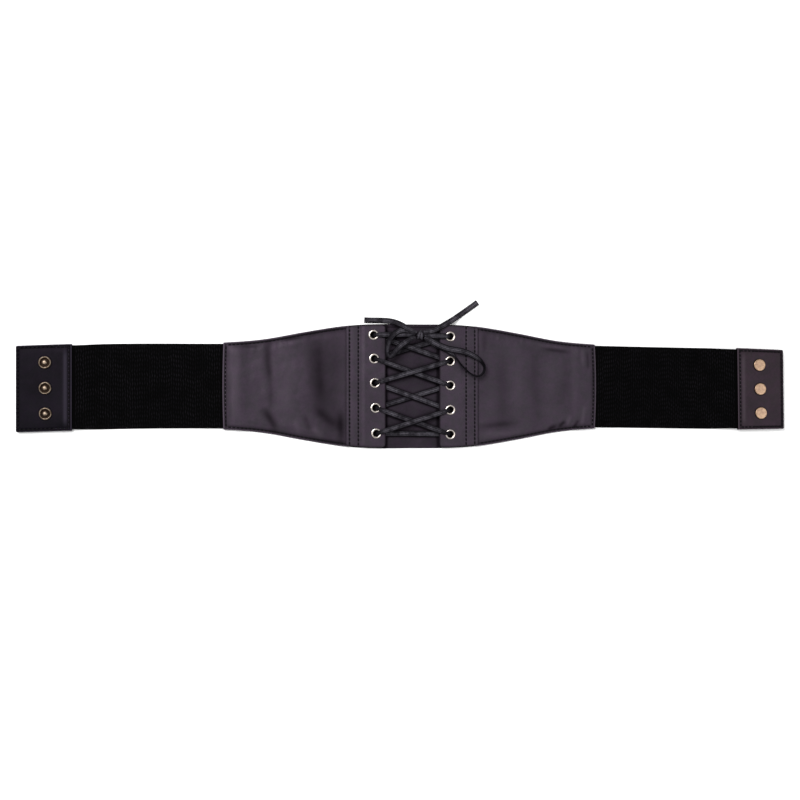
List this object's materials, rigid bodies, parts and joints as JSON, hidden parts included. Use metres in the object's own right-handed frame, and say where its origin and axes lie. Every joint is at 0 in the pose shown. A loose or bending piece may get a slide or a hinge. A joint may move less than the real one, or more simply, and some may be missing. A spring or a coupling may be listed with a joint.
{
  "type": "corset belt",
  "caption": "Wide waist belt with curved leather side panels, criss-cross lacing tied in a bow, ribbed elastic wings and leather end tabs with snap fasteners.",
  "frame": {"origin": "middle of the belt's length and height, on the surface that it lies on", "axes": "+X along the belt to the right as seen from the front, +Y up the belt as worn, +Z out of its front face"},
  "size_m": [0.6959, 0.1344, 0.0117],
  "materials": {
    "leather": "dark aubergine, fine grain, soft sheen",
    "elastic": "matt black ribbed elastic webbing",
    "lace": "flat woven lace, faint sheen",
    "eyelet_metal": "pale polished rim",
    "snap_metal": "antique brass, satin"
  },
  "bodies": {
    "root": {"tab_left": "leather", "tab_right": "leather", "elastic_left": "elastic", "elastic_right": "elastic", "panel_left": "leather", "panel_right": "leather", "lacing_strip_left": "leather", "lacing_strip_right": "leather", "modesty_panel": "leather", "eyelet_left_1": "eyelet_metal", "eyelet_left_2": "eyelet_metal", "eyelet_left_3": "eyelet_metal", "eyelet_left_4": "eyelet_metal", "eyelet_left_5": "eyelet_metal", "eyelet_right_1": "eyelet_metal", "eyelet_right_2": "eyelet_metal", "eyelet_right_3": "eyelet_metal", "eyelet_right_4": "eyelet_metal", "eyelet_right_5": "eyelet_metal", "snap_stud_1": "snap_metal", "snap_stud_2": "snap_metal", "snap_stud_3": "snap_metal", "snap_post_1": "snap_metal", "snap_post_2": "snap_metal", "snap_post_3": "snap_metal", "snap_cap_1": "snap_metal", "snap_cap_2": "snap_metal", "snap_cap_3": "snap_metal", "snap_socket_1": "snap_metal", "snap_socket_2": "snap_metal", "snap_socket_3": "snap_metal", "lace": "lace", "bow_knot": "lace", "bow_loop_left": "lace", "bow_loop_right": "lace", "lace_tail_left": "lace", "lace_tail_right": "lace"}
  },
  "joints": []
}
